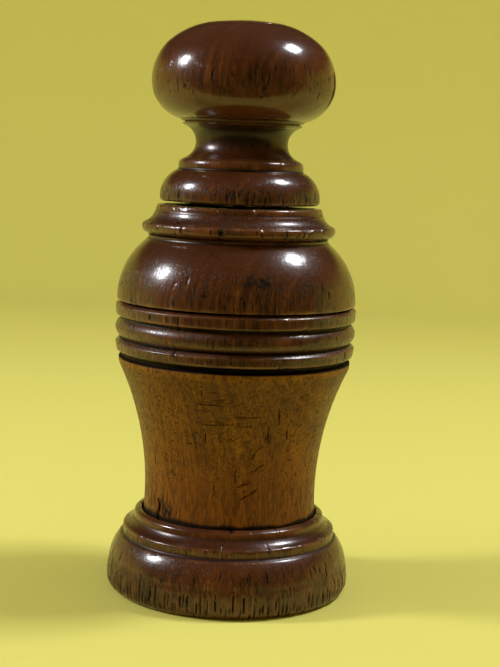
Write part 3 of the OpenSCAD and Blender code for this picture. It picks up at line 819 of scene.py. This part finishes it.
def make_cap():
    t = Turning("cap_wood", cap_outline(), 520, 0.37, 0.17, 0.83, ring=False)
    coarse = [(122, 1.0), (125.5, 0.95), (127.5, 0.35), (132, 0.15), (134, 0.4), (136, 0.1), (147, 0.15),
              (178, 0.1)]
    weather(t, coarse, 500)
    scatter_checks(t, 51, 90, 122.6, 125.4, (1.5, 3.8), (0.3, 0.55), (0.12, 0.35), 0.8)
    scatter_checks(t, 52, 10, 132, 134, (1, 2), (0.2, 0.35), (0.1, 0.25), 0.7)
    # Painted shade in the neck's cove under the knob: darkened and dulled.
    t.mark("stain_and_shade", 0.75 * np.exp(-((t.Z - 142.3) / 4.0) ** 2))
    # The hole that clears the spindle's square top
    half = 3.5
    cuts = [((-half, -half, CAP_Z + 1.5), (half, half, CAP_Z + 17.5))]
    t.mesh("turning_head", "waxed_wood", cuts)


def make_knob():
    t = Turning("knob_wood", knob_outline(), 560, 0.38, 0.17, 0.47)
    weather(t, [(146, 0.02), (153.5, 0.04), (155, 0.5), (161, 0.45), (164, 0.15), (176, 0.04)], 600)
    scatter_checks(t, 61, 60, 153.5, 162, (1.5, 4.5), (0.25, 0.35), (0.08, 0.25), 0.7)
    t.split(-13, 151.5, 162.5, 2.6, 1.6, 0.1)
    t.dent(-126.4, 156.0, 1.0, 0.8, 0.25, 0.8)
    # A small knot: rings round a dark eye
    patch, x, z = t.near(-117.6, 154, 163, 4)
    out = np.hypot(x / 1.85, (z - 158.5) / 1.25)
    rings = np.clip(np.cos(2 * np.pi * out * 1.6), 0, 1) * np.clip(1.3 - out, 0, 1)
    t.cut(0.08 * rings, 0.75 * rings, patch)
    t.mesh("turning_head", "waxed_wood")


# ---------------------------------------------------------------- stage and light

def make_stage():
    """A pale seamless floor that curves up all round.

    Its front and its upper wall look dark when something mirrors them, as an unlit room would.
    """
    flat, curve = 0.8, 0.4
    outline = [(0.0, 0.0), (0.2, 0.0), (0.45, 0.0), (flat, 0.0)]
    turns = np.radians(np.arange(6, 91, 6))
    outline += [(flat + curve * math.sin(t), curve - curve * math.cos(t)) for t in turns]
    outline += [(flat + curve, 1.1)]
    columns = 96
    points, faces = [(0, 0, 0)], []
    for r, z in outline[1:]:
        for k in range(columns):
            a = 2 * math.pi * k / columns
            points.append((r * math.cos(a), r * math.sin(a), z))
    for k in range(columns):
        faces.append((0, 1 + k, 1 + (k + 1) % columns))
    for i in range(len(outline) - 2):
        for k in range(columns):
            a, b = 1 + i * columns, 1 + (i + 1) * columns
            faces.append((a + k, b + k, b + (k + 1) % columns, a + (k + 1) % columns))
    mesh = bpy.data.meshes.new("studio_floor")
    mesh.from_pydata(points, [], faces)
    mesh.shade_smooth()
    floor = bpy.data.objects.new("studio_floor", mesh)
    scene.collection.objects.link(floor)
    s = Shader("pale_floor")
    s.surface.inputs["Base Color"].default_value = (*rgb(208, 200, 105), 1)
    s.surface.inputs["Roughness"].default_value = 0.9
    s.surface.inputs["Specular IOR Level"].default_value = 0.1
    spot = s.node("SeparateXYZ", {0: s.node("TexCoord").outputs["Object"]})
    # Painted reflection: to mirroring rays the floor's front and upper wall show a dim glowing sheet in place
    # of an unlit room.
    before = s.ramp(s.times(spot.outputs["Y"], -1.0), 0.125, 0.14)
    above = s.ramp(spot.outputs["Z"], 0.35, 0.6)
    glossy = s.node("LightPath").outputs["Is Glossy Ray"]
    dark = s.node("Emission", {"Color": (*rgb(74, 60, 42), 1), "Strength": 0.5})
    blend = s.node("MixShader", {0: s.times(s.most(before, above), glossy), 1: s.surface.outputs[0],
                                 2: dark.outputs[0]})
    s.tree.links.new(blend.outputs[0], s.out.inputs["Surface"])
    mesh.materials.append(s.material)


def area(name, azimuth, elevation, distance, size, watts, colour, mirrored=True):
    """A lamp aimed at the mill's middle; one that isn't mirrored lights things but isn't reflected."""
    data = bpy.data.lights.new(name, "AREA")
    data.shape = "RECTANGLE"
    data.size, data.size_y = size
    data.energy = watts
    data.color = colour
    lamp = bpy.data.objects.new(name, data)
    scene.collection.objects.link(lamp)
    a, e = math.radians(azimuth), math.radians(elevation)
    way = Vector((math.cos(a) * math.cos(e), math.sin(a) * math.cos(e), math.sin(e)))
    lamp.location = Vector((0, 0, 0.1)) + way * distance
    lamp.rotation_mode = "QUATERNION"
    lamp.rotation_quaternion = way.to_track_quat("Z", "Y")
    lamp.visible_camera = False
    lamp.visible_glossy = mirrored


def make_light():
    world = bpy.data.worlds.new("world")
    scene.world = world
    world.use_nodes = True
    back = world.node_tree.nodes["Background"]
    back.inputs["Color"].default_value = (*rgb(180, 170, 150), 1)
    back.inputs["Strength"].default_value = 0.1
    sky, lamp = (0.9, 0.94, 1), (1, 0.98, 0.93)
    area("left_window", -176, 30, 1.0, (0.16, 0.2), 7, sky)
    area("left_glow", -165, 38, 1.5, (0.8, 0.6), 5.3, lamp, False)
    area("right_window", 8, 53, 1.0, (0.25, 0.19), 7.5, sky)
    area("soft_fill", -80, 80, 2.2, (2.4, 2.0), 6.4, lamp, False)
    area("right_glow", 15, 50, 1.5, (0.7, 0.6), 3, lamp, False)


finish_nodes()
make_base()
make_waist()
make_hopper()
make_collar()
make_cap()
make_knob()
make_stage()
make_light()
